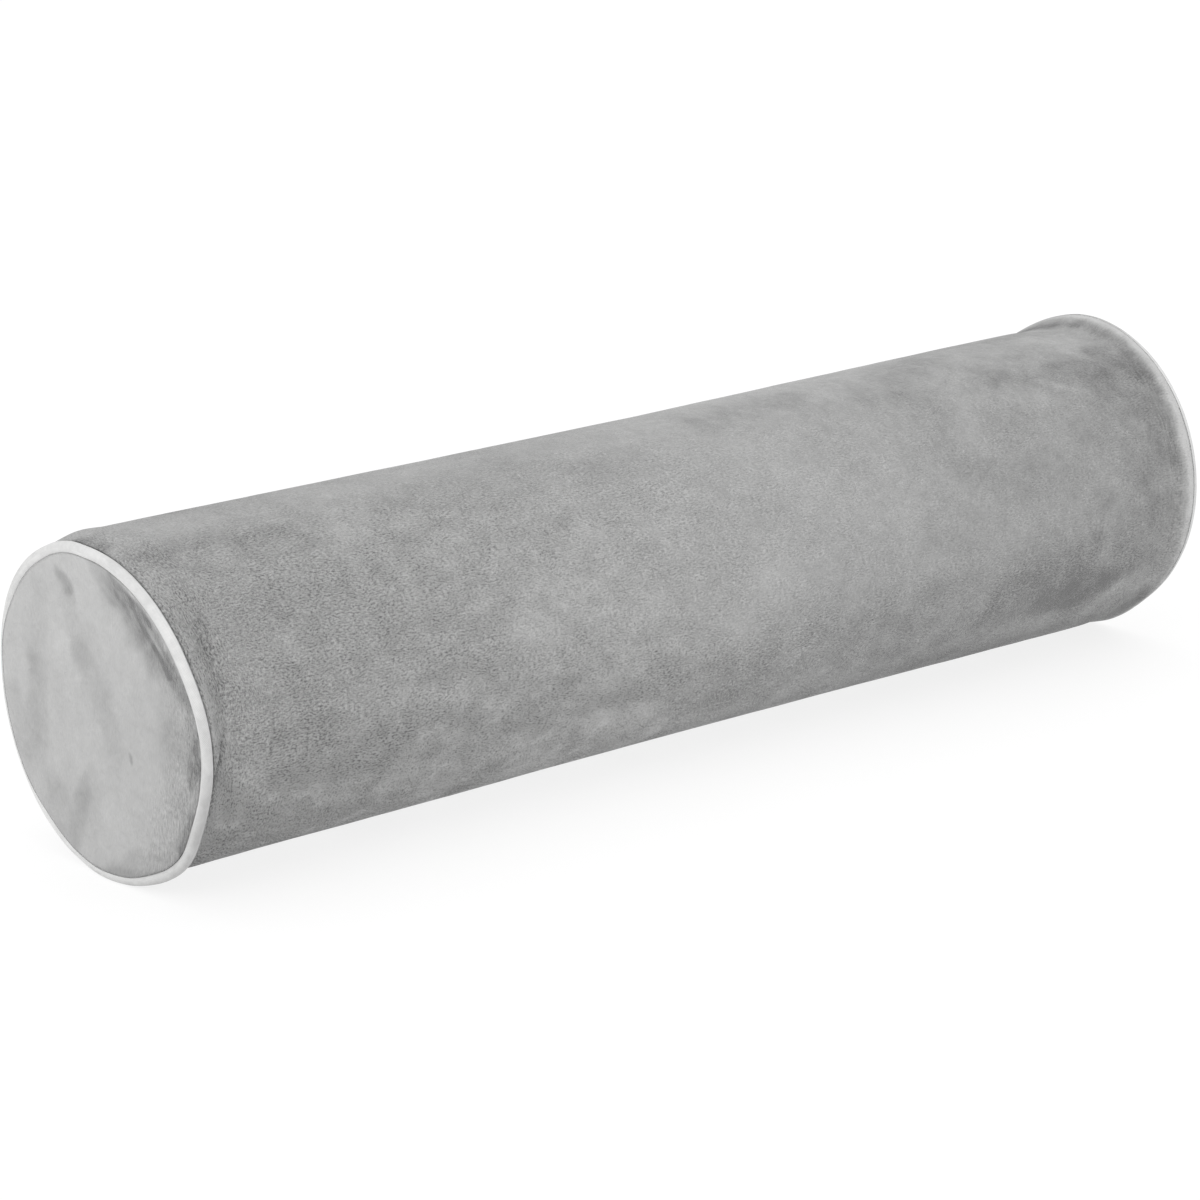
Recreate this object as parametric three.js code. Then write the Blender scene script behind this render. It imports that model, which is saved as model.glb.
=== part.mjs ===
// A roll pillow: a round foam roll in a velour cover, lying on its side along X.
// The cover is a sleeve, two round end panels and a cord of piping in each end seam.
// Units are millimetres, +Z is up, and the roll rests on Z = 0.
import * as THREE from 'three';

// Driving sizes.
const FOAM_LENGTH = 400;
const ROLL_RADIUS = 50;
const AXIS_HEIGHT = 50.4;
const CORD_RADIUS = 1.7;
const PANEL_THICKNESS = 1.8;
const PIECE_GAP = 0.3;

// The cover is a little slimmer half way along than at its ends.
const WAIST_DEPTH = 0.75;

// Where it rests, the underside is flat within FLAT_ANGLE of straight down.
// By ROUND_ANGLE it is round again. Both are in degrees about the roll's axis.
const FLAT_ANGLE = 6;
const ROUND_ANGLE = 17;
const DOWN = 270;

// The piping is pressed on to the surface by CORD_PRESS. A stiffer cord bends up more sharply.
const CORD_PRESS = 0.2;
const CORD_STIFFNESS = 1.5;

// How the sleeve comes up to the piping: it leaves the plain tube SHOULDER before the cord,
// dips into a soft valley and rises to a lip beside the cord.
const SHOULDER = 15;
const LIP_BEHIND = 1;

// The end panel's front stands FACE_STAND outside the foam's end, and its crown adds PANEL_CROWN.
// Where the cord stands further out, the panel rises to it from a gutter of GUTTER_WIDTH.
// Where the cord lies further back, the panel rounds down to it over ROUND_WIDTH.
const FACE_STAND = 2.5;
const PANEL_CROWN = 0.9;
const GUTTER_WIDTH = 15;
const ROUND_WIDTH = 8;
const BEND_POWER = 1.5;

// Steps of the mesh: directions about the axis, and sides of the cord's section.
const DIRECTIONS = 64;
const CORD_SIDES = 8;
const TUBE_ROWS = 8;

// The line of the piping at each end, by the angle about the axis: 0 is the back, 90 the top,
// 180 the front and 270 straight down. radius is to the cord's middle, reach is how far the cord's
// middle stands outside its plain place, and valley is the depth of the dip behind it.
const CORD_PLACE = 2;
const NEAR_RIM = [
  { angle: 0, radius: 49.6, reach: -1.2, valley: 1.0 },
  { angle: 30, radius: 50.2, reach: 0.5, valley: 1.1 },
  { angle: 45, radius: 49.2, reach: 0.7, valley: 0.8 },
  { angle: 60, radius: 47.7, reach: 0.9, valley: 0.4 },
  { angle: 75, radius: 46.2, reach: 2.4, valley: 0.3 },
  { angle: 90, radius: 45.2, reach: 3.6, valley: 0.4 },
  { angle: 120, radius: 45.8, reach: 4.4, valley: 0.5 },
  { angle: 150, radius: 47.3, reach: 4.2, valley: 1.0 },
  { angle: 180, radius: 48.8, reach: 1.8, valley: 1.9 },
  { angle: 210, radius: 50.0, reach: 0.6, valley: 1.5 },
  { angle: 228, radius: 51.2, reach: -0.1, valley: 0.9 },
  { angle: 255, radius: 50.3, reach: -0.6, valley: 0.8 },
  { angle: 285, radius: 49.2, reach: -1.0, valley: 0.8 },
  { angle: 330, radius: 49.4, reach: -1.9, valley: 1.2 },
];
const FAR_RIM = [
  { angle: 0, radius: 50.4, reach: 0.5, valley: 1.0 },
  { angle: 30, radius: 50.2, reach: 0.7, valley: 0.7 },
  { angle: 60, radius: 50.2, reach: 0.8, valley: 1.0 },
  { angle: 75, radius: 50.9, reach: 0.9, valley: 1.5 },
  { angle: 90, radius: 52.2, reach: 1.0, valley: 1.4 },
  { angle: 105, radius: 52.4, reach: 1.0, valley: 1.0 },
  { angle: 135, radius: 51.8, reach: 0.7, valley: 1.6 },
  { angle: 165, radius: 50.8, reach: 0.5, valley: 2.0 },
  { angle: 195, radius: 49.7, reach: 0.2, valley: 1.5 },
  { angle: 210, radius: 48.9, reach: -0.2, valley: 0.9 },
  { angle: 232, radius: 48.0, reach: -0.4, valley: 0.6 },
  { angle: 255, radius: 49.2, reach: 0.1, valley: 0.8 },
  { angle: 285, radius: 50.2, reach: 0.6, valley: 0.8 },
  { angle: 330, radius: 50.5, reach: 0.6, valley: 1.2 },
];

// Soft folds pressed into an end panel: each is a trough from one point to another of the panel,
// across Y and up Z from its middle, with the half width and the depth of the trough.
const NEAR_FOLDS = [
  { fromY: 18, fromZ: 38, toY: 14, toZ: 29, halfWidth: 2.6, depth: 0.9 },
  { fromY: 14, fromZ: 29, toY: 4, toZ: 8, halfWidth: 4.2, depth: 0.7 },
  { fromY: 4, fromZ: 8, toY: -7, toZ: -7, halfWidth: 4.6, depth: 0.5 },
  { fromY: 30, fromZ: 29, toY: 31, toZ: 3, halfWidth: 3.4, depth: 0.6 },
  { fromY: 31, fromZ: 3, toY: 33, toZ: -18, halfWidth: 3.8, depth: 0.7 },
  { fromY: 9, fromZ: -29, toY: 15, toZ: -42, halfWidth: 2.8, depth: 0.6 },
  { fromY: -4, fromZ: 31, toY: -27, toZ: 22, halfWidth: 4.5, depth: 1.1 },
];
const FAR_FOLDS = [
  { fromY: -22, fromZ: 33, toY: -9, toZ: 10, halfWidth: 4.5, depth: 0.8 },
  { fromY: 26, fromZ: -27, toY: 14, toZ: -6, halfWidth: 4.5, depth: 0.7 },
];

// The two ends: side is the way along X that the end faces.
const near = { side: -1, rim: NEAR_RIM, folds: NEAR_FOLDS };
const far = { side: 1, rim: FAR_RIM, folds: FAR_FOLDS };

const VELOUR = { color: 0x9a9a99, roughness: 0.95, metalness: 0 };
const TAPE = { color: 0xe9e9e8, roughness: 0.8, metalness: 0 };

const { lerp, smoothstep, degToRad } = THREE.MathUtils;

// One column of a rim table at any angle, on a smooth closed curve through its rows.
function around(rim, column, angle) {
  const count = rim.length;
  const row = (place) => {
    const turns = Math.floor(place / count);
    const found = rim[place - turns * count];
    return { angle: found.angle + 360 * turns, value: found[column] };
  };
  let place = count - 1;
  while (rim[place].angle > angle) place -= 1;
  const [before, start, end, after] = [-1, 0, 1, 2].map((step) => row(place + step));
  const span = end.angle - start.angle;
  const part = (angle - start.angle) / span;
  const leave = ((end.value - before.value) / (end.angle - before.angle)) * span;
  const arrive = ((after.value - start.value) / (after.angle - start.angle)) * span;
  const rise = part * part * (3 - 2 * part);
  const pull = leave * part * (1 - part) ** 2 - arrive * part * part * (1 - part);
  return lerp(start.value, end.value, rise) + pull;
}

// The distance from the roll's axis down to the surface it rests on, along an angle.
function floorDistance(angle) {
  return AXIS_HEIGHT / Math.cos(degToRad(angle - DOWN));
}

// 1 where the roll is pressed flat, 0 where it is round.
function pressed(angle) {
  return 1 - smoothstep(Math.abs(angle - DOWN), FLAT_ANGLE, ROUND_ANGLE);
}

// The plain sleeve's radius, along being the distance from the roll's middle.
function tubeRadius(along, angle) {
  const waist = WAIST_DEPTH * Math.cos((Math.PI * along) / FOAM_LENGTH) ** 2;
  return lerp(ROLL_RADIUS - waist, floorDistance(angle), pressed(angle));
}

// The middle of the cord at an angle: out is its distance from the roll's middle along X.
// Near the surface it bends up smoothly until it lies there, pressed down by CORD_PRESS.
function cordMiddle(end, angle) {
  const free = around(end.rim, 'radius', angle);
  const facesDown = Math.abs(angle - DOWN) < 90;
  const room = facesDown ? floorDistance(angle) - CORD_RADIUS + CORD_PRESS - free : Infinity;
  return {
    radius: free - Math.log(1 + Math.exp(-room * CORD_STIFFNESS)) / CORD_STIFFNESS,
    out: FOAM_LENGTH / 2 + CORD_PLACE + around(end.rim, 'reach', angle),
  };
}

// How deep the folds of a panel are at a point of it.
function foldDepth(folds, y, z) {
  return folds.reduce((sum, fold) => {
    const start = new THREE.Vector2(fold.fromY, fold.fromZ);
    const run = new THREE.Vector2(fold.toY, fold.toZ).sub(start);
    const point = new THREE.Vector2(y, z).sub(start);
    const along = THREE.MathUtils.clamp(point.dot(run) / run.lengthSq(), 0, 1);
    const away = point.distanceTo(run.multiplyScalar(along)) / fold.halfWidth;
    return sum + fold.depth * Math.exp(-away * away);
  }, 0);
}

// The edge of an end panel beside the cord, as distances out from and in from the cord's middle:
// its front corner, a point between, and its back corner. It follows the cord's round side.
const PANEL_EDGE = [
  { out: 0.6, in: 1.95 },
  { out: -0.3, in: 2.0 },
  { out: 0.6 - PANEL_THICKNESS, in: 1.64 },
];

// How far out the front of an end panel is, at a radius and an angle.
function panelFront(end, radius, angle) {
  const cord = cordMiddle(end, angle);
  const rim = cord.radius - PANEL_EDGE[0].in;
  const crown = PANEL_CROWN * (1 - (radius / rim) ** 2);
  const face = FOAM_LENGTH / 2 + FACE_STAND + crown;
  const edge = cord.out + PANEL_EDGE[0].out;
  const width = edge > FOAM_LENGTH / 2 + FACE_STAND ? GUTTER_WIDTH : ROUND_WIDTH;
  const bend = THREE.MathUtils.clamp((radius - rim + width) / width, 0, 1);
  const y = radius * Math.cos(degToRad(angle));
  const z = radius * Math.sin(degToRad(angle));
  const fold = foldDepth(end.folds, y, z) * (1 - bend ** 3);
  return lerp(face - fold, edge, bend ** BEND_POWER);
}

// The rows of a panel inside its edge: the first ones by their distance from the cord's middle,
// and the inner ones as a share of the cord's radius.
const OUTER_ROWS = [4.5, 8, 12, 17];
const INNER_ROWS = [0.42, 0.18];

// The radii of a panel's rows at an angle, from the edge to the middle.
function panelRadii(end, angle) {
  const cord = cordMiddle(end, angle);
  return [
    ...OUTER_ROWS.map((inside) => cord.radius - inside),
    ...INNER_ROWS.map((share) => cord.radius * share),
  ];
}

// Where the filled sleeve runs under a panel's back, it keeps this distance to it along X.
const FACE_GAP = PIECE_GAP + 0.06;

// The filled sleeve's groove for the cord, as directions from the cord's middle in degrees:
// 90 is away from the axis and 180 towards the roll's middle.
const GROOVE_DIRECTIONS = [120, 145, 170, 195, 215];
const GROOVE_RADIUS = CORD_RADIUS + PIECE_GAP;

// Where the rows of the sleeve lie between its shoulder, at 0, and its lip, at 1.
const SHOULDER_ROWS = [0, 0.25, 0.48, 0.7, 0.88];

// A point of one end, from its distance out and its radius. Nothing goes below the surface.
function place(end, out, radius, angle) {
  const y = radius * Math.cos(degToRad(angle));
  const z = AXIS_HEIGHT + radius * Math.sin(degToRad(angle));
  return new THREE.Vector3(end.side * out, y, Math.max(z, 0));
}

// The sleeve's outline at one end and angle, from the shoulder round the groove to the middle
// of the end face.
function sleeveEnd(end, angle) {
  const cord = cordMiddle(end, angle);
  const valley = around(end.rim, 'valley', angle);
  const lip = {
    out: cord.out - LIP_BEHIND,
    radius: cord.radius + GROOVE_RADIUS * Math.sin(degToRad(GROOVE_DIRECTIONS[0])),
  };
  const shoulder = SHOULDER_ROWS.map((part) => {
    const out = lerp(cord.out - SHOULDER, lip.out, part);
    const plain = tubeRadius(out, angle);
    const dip = valley * Math.sin(Math.PI * part) ** 2;
    return place(end, out, lerp(plain, lip.radius, part ** 3) - dip, angle);
  });
  const groove = GROOVE_DIRECTIONS.map((direction) => place(
    end,
    cord.out + GROOVE_RADIUS * Math.cos(degToRad(direction)),
    cord.radius + GROOVE_RADIUS * Math.sin(degToRad(direction)),
    angle,
  ));
  const corner = PANEL_EDGE[PANEL_EDGE.length - 1];
  const turn = place(end, cord.out + corner.out - FACE_GAP, cord.radius - corner.in, angle);
  const face = panelRadii(end, angle).map((radius) => {
    const back = panelFront(end, radius, angle) - PANEL_THICKNESS;
    return place(end, back - FACE_GAP, radius, angle);
  });
  return [...shoulder, ...groove, turn, ...face];
}

// The plain tube between the two shoulders at an angle, from the near end to the far one.
function sleeveTube(angle) {
  const from = -cordMiddle(near, angle).out + SHOULDER;
  const to = cordMiddle(far, angle).out - SHOULDER;
  return Array.from({ length: TUBE_ROWS - 1 }, (_, row) => {
    const along = lerp(from, to, (row + 1) / TUBE_ROWS);
    return place(far, along, tubeRadius(along, angle), angle);
  });
}

// A panel's outline at an angle: from the middle of its front, round its edge, to the middle
// of its back.
function panelOutline(end, angle) {
  const cord = cordMiddle(end, angle);
  const radii = panelRadii(end, angle);
  const front = radii.map((radius) => place(end, panelFront(end, radius, angle), radius, angle));
  const back = radii.map((radius) => (
    place(end, panelFront(end, radius, angle) - PANEL_THICKNESS, radius, angle)
  ));
  const edge = PANEL_EDGE.map((point) => (
    place(end, cord.out + point.out, cord.radius - point.in, angle)
  ));
  return [...front.reverse(), ...edge, ...back];
}

// The section of the cord at an angle.
function cordSection(end, angle) {
  const cord = cordMiddle(end, angle);
  return Array.from({ length: CORD_SIDES }, (_, side) => {
    const direction = (2 * Math.PI * side) / CORD_SIDES;
    const out = cord.out + CORD_RADIUS * Math.cos(direction);
    return place(end, out, cord.radius + CORD_RADIUS * Math.sin(direction), angle);
  });
}

// A closed body from one outline for each direction about the axis. ends holds the two points
// where all outlines meet on the axis, or nothing for a ring, whose outlines are closed.
function bodyFrom(outlineAt, ends) {
  const outlines = Array.from({ length: DIRECTIONS }, (_, step) => (
    outlineAt((360 * step) / DIRECTIONS)
  ));
  const rows = outlines[0].length;
  const points = outlines.flat();
  const faces = [];
  const at = (step, row) => (step % DIRECTIONS) * rows + (row % rows);
  for (let step = 0; step < DIRECTIONS; step += 1) {
    for (let row = 0; row < (ends ? rows - 1 : rows); row += 1) {
      const [a, b] = [at(step, row), at(step, row + 1)];
      const [c, d] = [at(step + 1, row + 1), at(step + 1, row)];
      const splitAtA = points[a].distanceTo(points[c]) <= points[b].distanceTo(points[d]);
      faces.push(...(splitAtA ? [a, b, c, a, c, d] : [a, b, d, b, c, d]));
    }
    if (ends) {
      faces.push(points.length, at(step, 0), at(step + 1, 0));
      faces.push(points.length + 1, at(step + 1, rows - 1), at(step, rows - 1));
    }
  }
  const geometry = new THREE.BufferGeometry().setFromPoints([...points, ...(ends ?? [])]);
  geometry.setIndex(facesOut(geometry, faces));
  geometry.computeVertexNormals();
  return geometry;
}

// The faces with their corners in the order that makes them look outwards.
function facesOut(geometry, faces) {
  const positions = geometry.getAttribute('position');
  const corner = (index) => new THREE.Vector3().fromBufferAttribute(positions, index);
  let volume = 0;
  for (let face = 0; face < faces.length; face += 3) {
    const [a, b, c] = faces.slice(face, face + 3).map(corner);
    volume += a.dot(b.cross(c));
  }
  return volume > 0 ? faces : [...faces].reverse();
}

// A named piece of the cover with its finish.
function cloth(name, geometry, finish) {
  const mesh = new THREE.Mesh(geometry, new THREE.MeshStandardMaterial(finish));
  mesh.name = name;
  return mesh;
}

const onAxis = (end, out) => new THREE.Vector3(end.side * out, 0, AXIS_HEIGHT);
const panelMiddle = (end) => panelFront(end, 0, 0);

// The sleeve with its foam filling, as one solid body.
const sleeve = cloth('filled_sleeve', bodyFrom(
  (angle) => [
    ...sleeveEnd(near, angle).reverse(),
    ...sleeveTube(angle),
    ...sleeveEnd(far, angle),
  ],
  [near, far].map((end) => onAxis(end, panelMiddle(end) - PANEL_THICKNESS - FACE_GAP)),
), VELOUR);

// The round panel and the piping at one end.
function endPieces(name, end) {
  const middles = [onAxis(end, panelMiddle(end)), onAxis(end, panelMiddle(end) - PANEL_THICKNESS)];
  const pieces = new THREE.Group();
  pieces.add(cloth(`end_panel_${name}`, bodyFrom((angle) => panelOutline(end, angle), middles), VELOUR));
  pieces.add(cloth(`piping_${name}`, bodyFrom((angle) => cordSection(end, angle)), TAPE));
  return pieces;
}

// The near rim reaches further out than the far one, so the roll is moved along X until it lies
// centred on the origin.
const CENTRE_SHIFT = 1.6;

const roll = new THREE.Group();
roll.add(sleeve, endPieces('near', near), endPieces('far', far));
roll.position.x = CENTRE_SHIFT;

export default roll;
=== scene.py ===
# A round foam roll pillow in a grey velour cover, lying on its side along X. The cover is a sleeve
# with a round panel sewn into each end, and a pale piping cord in each of the two end seams.
# Metres, +Z up. The roll rests on Z = 0.
import math
import bmesh
import bpy
import numpy as np
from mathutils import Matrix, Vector, noise


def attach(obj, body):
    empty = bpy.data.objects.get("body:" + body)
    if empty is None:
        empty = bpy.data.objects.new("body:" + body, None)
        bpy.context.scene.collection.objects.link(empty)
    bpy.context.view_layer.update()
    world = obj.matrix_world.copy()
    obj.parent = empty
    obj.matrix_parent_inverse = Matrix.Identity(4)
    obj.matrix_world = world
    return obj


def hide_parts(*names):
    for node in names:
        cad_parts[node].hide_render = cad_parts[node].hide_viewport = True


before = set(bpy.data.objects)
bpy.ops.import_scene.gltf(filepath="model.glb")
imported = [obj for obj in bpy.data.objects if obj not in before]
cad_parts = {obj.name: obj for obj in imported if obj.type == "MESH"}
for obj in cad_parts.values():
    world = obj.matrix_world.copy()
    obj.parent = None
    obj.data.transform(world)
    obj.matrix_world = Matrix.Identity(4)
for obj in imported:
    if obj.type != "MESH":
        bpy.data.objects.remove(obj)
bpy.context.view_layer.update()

# The camera stands in front of the near end, a little above the roll, and looks along it.
# It is 1.5 m away with a long lens, so the far rim looks nearly as large as the near one.
CAMERA_PLACE = (-0.98803, -1.08382, 0.45691)
CAMERA_LOOKS_DOWN = 15.72
CAMERA_TURNED_LEFT = 42.01
CAMERA_LENS = 147.735

camera = bpy.data.objects.new("camera", bpy.data.cameras.new("camera"))
camera.data.lens = CAMERA_LENS
camera.location = CAMERA_PLACE
camera.rotation_euler = (
    math.radians(90 - CAMERA_LOOKS_DOWN),
    0,
    -math.radians(CAMERA_TURNED_LEFT),
)
bpy.context.scene.collection.objects.link(camera)
bpy.context.scene.camera = camera

# The piping: a soft round cord wrapped in a bias-cut strip of smooth pale cotton. It is caught in
# each end seam, so its line is the line of the rim, which is nowhere quite round or flat.
# Angles are in degrees about the roll's axis: 0 is the back, 90 the top, 270 straight down.

# The foam's middle is MIDDLE_ALONG from the frame's, because the rims are uneven. A cord's plain
# place is CORD_PLACE out from the foam's flat end, and it is pressed flat by CORD_PRESS underneath.
MM = 0.001
FOAM_LENGTH = 400 * MM
ROLL_RADIUS = 50 * MM
AXIS_HEIGHT = 50.4 * MM
MIDDLE_ALONG = 1.6 * MM
CORD_RADIUS = 1.7 * MM
CORD_PLACE = 2 * MM
CORD_PRESS = 0.2 * MM
CORD_STIFFNESS = 1500
DOWN = 270
CORD_STEPS = 480
CORD_SIDES = 20

# radius is to the cord's middle, reach is how far it stands outside its plain place, and valley is
# the depth of the dip in the sleeve behind it, all in millimetres.
NEAR_RIM = [
    {"angle": 0, "radius": 48.9, "reach": -1.3, "valley": 1.0},
    {"angle": 30, "radius": 49.2, "reach": 0.0, "valley": 1.1},
    {"angle": 45, "radius": 48.7, "reach": 0.6, "valley": 0.2},
    {"angle": 60, "radius": 47.6, "reach": 0.9, "valley": -0.5},
    {"angle": 75, "radius": 46.6, "reach": 2.4, "valley": -0.4},
    {"angle": 90, "radius": 45.6, "reach": 3.5, "valley": -0.1},
    {"angle": 120, "radius": 45.8, "reach": 4.1, "valley": 0.5},
    {"angle": 150, "radius": 47.6, "reach": 3.9, "valley": 1.0},
    {"angle": 180, "radius": 49.1, "reach": 1.6, "valley": 1.9},
    {"angle": 210, "radius": 50.0, "reach": 0.6, "valley": 1.5},
    {"angle": 228, "radius": 51.6, "reach": -0.2, "valley": 0.9},
    {"angle": 250, "radius": 50.2, "reach": 0.5, "valley": 0.8},
    {"angle": 268, "radius": 49.8, "reach": 1.3, "valley": 0.8},
    {"angle": 285, "radius": 49.2, "reach": -0.5, "valley": 0.8},
    {"angle": 330, "radius": 49.4, "reach": -1.9, "valley": 1.2},
]
FAR_RIM = [
    {"angle": 0, "radius": 50.4, "reach": 0.5, "valley": 1.0},
    {"angle": 30, "radius": 50.2, "reach": 0.7, "valley": 0.7},
    {"angle": 60, "radius": 50.2, "reach": 0.8, "valley": 1.0},
    {"angle": 75, "radius": 50.9, "reach": 0.9, "valley": 1.5},
    {"angle": 90, "radius": 52.2, "reach": 1.0, "valley": 1.4},
    {"angle": 105, "radius": 52.6, "reach": 1.0, "valley": 0.9},
    {"angle": 135, "radius": 52.3, "reach": 0.7, "valley": 1.3},
    {"angle": 165, "radius": 51.1, "reach": 0.5, "valley": 1.5},
    {"angle": 195, "radius": 49.7, "reach": 0.1, "valley": 1.1},
    {"angle": 210, "radius": 48.9, "reach": -0.3, "valley": 0.7},
    {"angle": 232, "radius": 47.9, "reach": -0.5, "valley": 0.6},
    {"angle": 255, "radius": 49.2, "reach": 0.1, "valley": 0.8},
    {"angle": 285, "radius": 50.2, "reach": 0.6, "valley": 0.8},
    {"angle": 330, "radius": 50.5, "reach": 0.6, "valley": 1.2},
]

# The two ends: side is the way along X that the end faces.
near = {"name": "near", "side": -1, "rim": NEAR_RIM}
far = {"name": "far", "side": 1, "rim": FAR_RIM}


def around(rim, column, angles, unit=MM):
    """One column of a table by angle, times its unit, on a smooth closed curve through its rows."""
    rows = [*rim[-2:], *rim, *rim[:3]]
    turns = [-360] * 2 + [0] * len(rim) + [360] * 3
    places = np.array([row["angle"] + turn for row, turn in zip(rows, turns)], float)
    values = np.array([row[column] for row in rows]) * unit
    slopes = np.zeros(len(rows))
    slopes[1:-1] = (values[2:] - values[:-2]) / (places[2:] - places[:-2])
    turned = np.mod(angles, 360)
    start = np.searchsorted(places, turned, side="right") - 1
    span = places[start + 1] - places[start]
    part = (turned - places[start]) / span
    rise = part**2 * (3 - 2 * part)
    leave = slopes[start] * span * part * (1 - part) ** 2
    arrive = slopes[start + 1] * span * part**2 * (1 - part)
    return values[start] + (values[start + 1] - values[start]) * rise + leave - arrive


def floor_distance(angles):
    """How far below the roll's axis the surface lies, measured along each angle."""
    level = 0.05
    facing_down = np.cos(np.radians(angles - DOWN))
    return np.where(facing_down > level, AXIS_HEIGHT / np.maximum(facing_down, level), np.inf)


def cord_line(end, angles):
    """Radius of the cord's middle, and how far out along X it is, at each angle."""
    free = around(end["rim"], "radius", angles)
    room = floor_distance(angles) - CORD_RADIUS + CORD_PRESS - free
    lifted = np.logaddexp(0, -room * CORD_STIFFNESS) / CORD_STIFFNESS
    out = FOAM_LENGTH / 2 + CORD_PLACE + around(end["rim"], "reach", angles)
    return free - lifted, out


def place(end, out, radius, angles):
    """Points from a distance out and a radius. Nothing goes below the surface."""
    x = end["side"] * out + MIDDLE_ALONG
    y = radius * np.cos(np.radians(angles))
    z = np.maximum(AXIS_HEIGHT + radius * np.sin(np.radians(angles)), 0)
    return np.stack(np.broadcast_arrays(x, y, z), axis=-1)


def cloth_mesh(name, points, cut, ends=None):
    """A closed mesh from a grid of points, one column for each direction about the axis.

    cut gives each point's place on the flat cloth, with the first column once more at the end.
    ends holds the two middle points that close it, or nothing for a ring."""
    columns, rows = points.shape[:2]
    ring = ends is None
    column, row = np.meshgrid(np.arange(columns), np.arange(rows if ring else rows - 1), indexing="ij")
    corners = [(column, row), (column + 1, row), (column + 1, row + 1), (column, row + 1)]
    quads = np.stack([(c % columns) * rows + r % rows for c, r in corners], axis=-1).reshape(-1, 4)
    faces = quads.tolist()
    places = [np.stack([cut[c, r] for c, r in corners], axis=-2).reshape(-1, 2)]
    vertices = points.reshape(-1, 3)
    if not ring:
        each = np.arange(columns)
        for middle, last in enumerate((0, rows - 1)):
            fan = [each * rows + last, (each + 1) % columns * rows + last]
            faces += np.stack([*fan, np.full(columns, len(vertices) + middle)], axis=-1).tolist()
            inner = (cut[each, last] + cut[each + 1, last]) / 2
            fan_cut = [cut[each, last], cut[each + 1, last], inner]
            places.append(np.stack(fan_cut, axis=1).reshape(-1, 2))
        vertices = np.vstack([vertices, ends])
    mesh = bpy.data.meshes.new(name)
    mesh.from_pydata(vertices.tolist(), [], faces)
    flat = mesh.uv_layers.new(name="cut")
    flat.uv.foreach_set("vector", np.concatenate(places).astype(np.float32).ravel())
    outwards = bmesh.new()
    outwards.from_mesh(mesh)
    bmesh.ops.recalc_face_normals(outwards, faces=outwards.faces)
    outwards.to_mesh(mesh)
    outwards.free()
    mesh.shade_smooth()
    piece = bpy.data.objects.new(name, mesh)
    bpy.context.scene.collection.objects.link(piece)
    return piece


# Each seed takes the noise one such step further, so that no two of them are alike.
NOISE_STEP = (7.3, 3.1, 5.7)


def wandering(points, size, seed):
    """Smooth noise from -1 to 1 at each of some points, with bumps of about a size."""
    flat = points.reshape(-1, points.shape[-1]) / size
    shift = Vector([seed * step for step in NOISE_STEP])
    values = [noise.noise(Vector((*point, 0)[:3]) + shift) for point in flat.tolist()]
    return np.array(values).reshape(points.shape[:-1])


def add(tree, kind, inputs=None, **settings):
    """A node with its settings, and with its inputs set to values or linked to other nodes."""
    made = tree.nodes.new("ShaderNode" + kind)
    for name, value in settings.items():
        setattr(made, name, value)
    for socket, value in (inputs or {}).items():
        if isinstance(value, bpy.types.NodeSocket):
            tree.links.new(value, made.inputs[socket])
        else:
            made.inputs[socket].default_value = value
    return made.outputs[0]


def calculate(tree, operation, *values):
    """A Math node on one to three values or sockets."""
    return add(tree, "Math", dict(enumerate(values)), operation=operation)


def cloth_material(name, constants):
    """A material with a matt surface, whose constant values stay on the shader's own sockets."""
    material = bpy.data.materials.new(name)
    material.use_nodes = True
    tree = material.node_tree
    shader = next(node for node in tree.nodes if node.type == "BSDF_PRINCIPLED")
    for socket, value in constants.items():
        shader.inputs[socket].default_value = value
    cut = tree.nodes.new("ShaderNodeUVMap")
    cut.uv_map = "cut"
    return material, tree, shader, cut.outputs["UV"]


# The sockets of a Mix node that mixes colours. Its other sockets have the same names.
MIX_FACTOR, MIX_FROM, MIX_TO, MIX_RESULT = 0, 6, 7, 2


def between(tree, amount, low, high):
    """A colour between two colours."""
    mix = tree.nodes.new("ShaderNodeMix")
    mix.data_type = "RGBA"
    tree.links.new(amount, mix.inputs[MIX_FACTOR])
    mix.inputs[MIX_FROM].default_value = (*low, 1)
    mix.inputs[MIX_TO].default_value = (*high, 1)
    return mix.outputs[MIX_RESULT]


# The strip round the cord is plain weave on the bias, so its threads run at 45 degrees to the cord.
# Some threads are thicker, and the cloth is cloudy. Each adds its share to the grey.
TAPE_THREAD = 0.42 * MM
TAPE_BIAS = (45, -45)
TAPE_SLUBS = {"Scale": 420, "Detail": 3, "Roughness": 0.6}
TAPE_CLOUDS = {"Scale": 70, "Detail": 2, "Roughness": 0.5}
TAPE_WEAVE_SHARE = 0.25
TAPE_SLUB_SHARE = 0.45
TAPE_CLOUD_SHARE = 0.6
TAPE_SHADE = (0.38, 0.38, 0.378)
TAPE_WHITE = (0.82, 0.82, 0.815)
TAPE_RELIEF = 0.05 * MM
TAPE_SLUB_RELIEF = 0.9
TAPE_BUMP = 0.7


def painted(tree, name):
    """A value that was painted on a piece's points."""
    made = tree.nodes.new("ShaderNodeAttribute")
    made.attribute_name = name
    return made.outputs["Fac"]


def paint(piece, values):
    """Keeps named values for each of a piece's points, for its material to read."""
    for name, numbers in values.items():
        attribute = piece.data.attributes.new(name, "FLOAT", "POINT")
        attribute.data.foreach_set("value", numbers.astype(np.float32).ravel())


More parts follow.
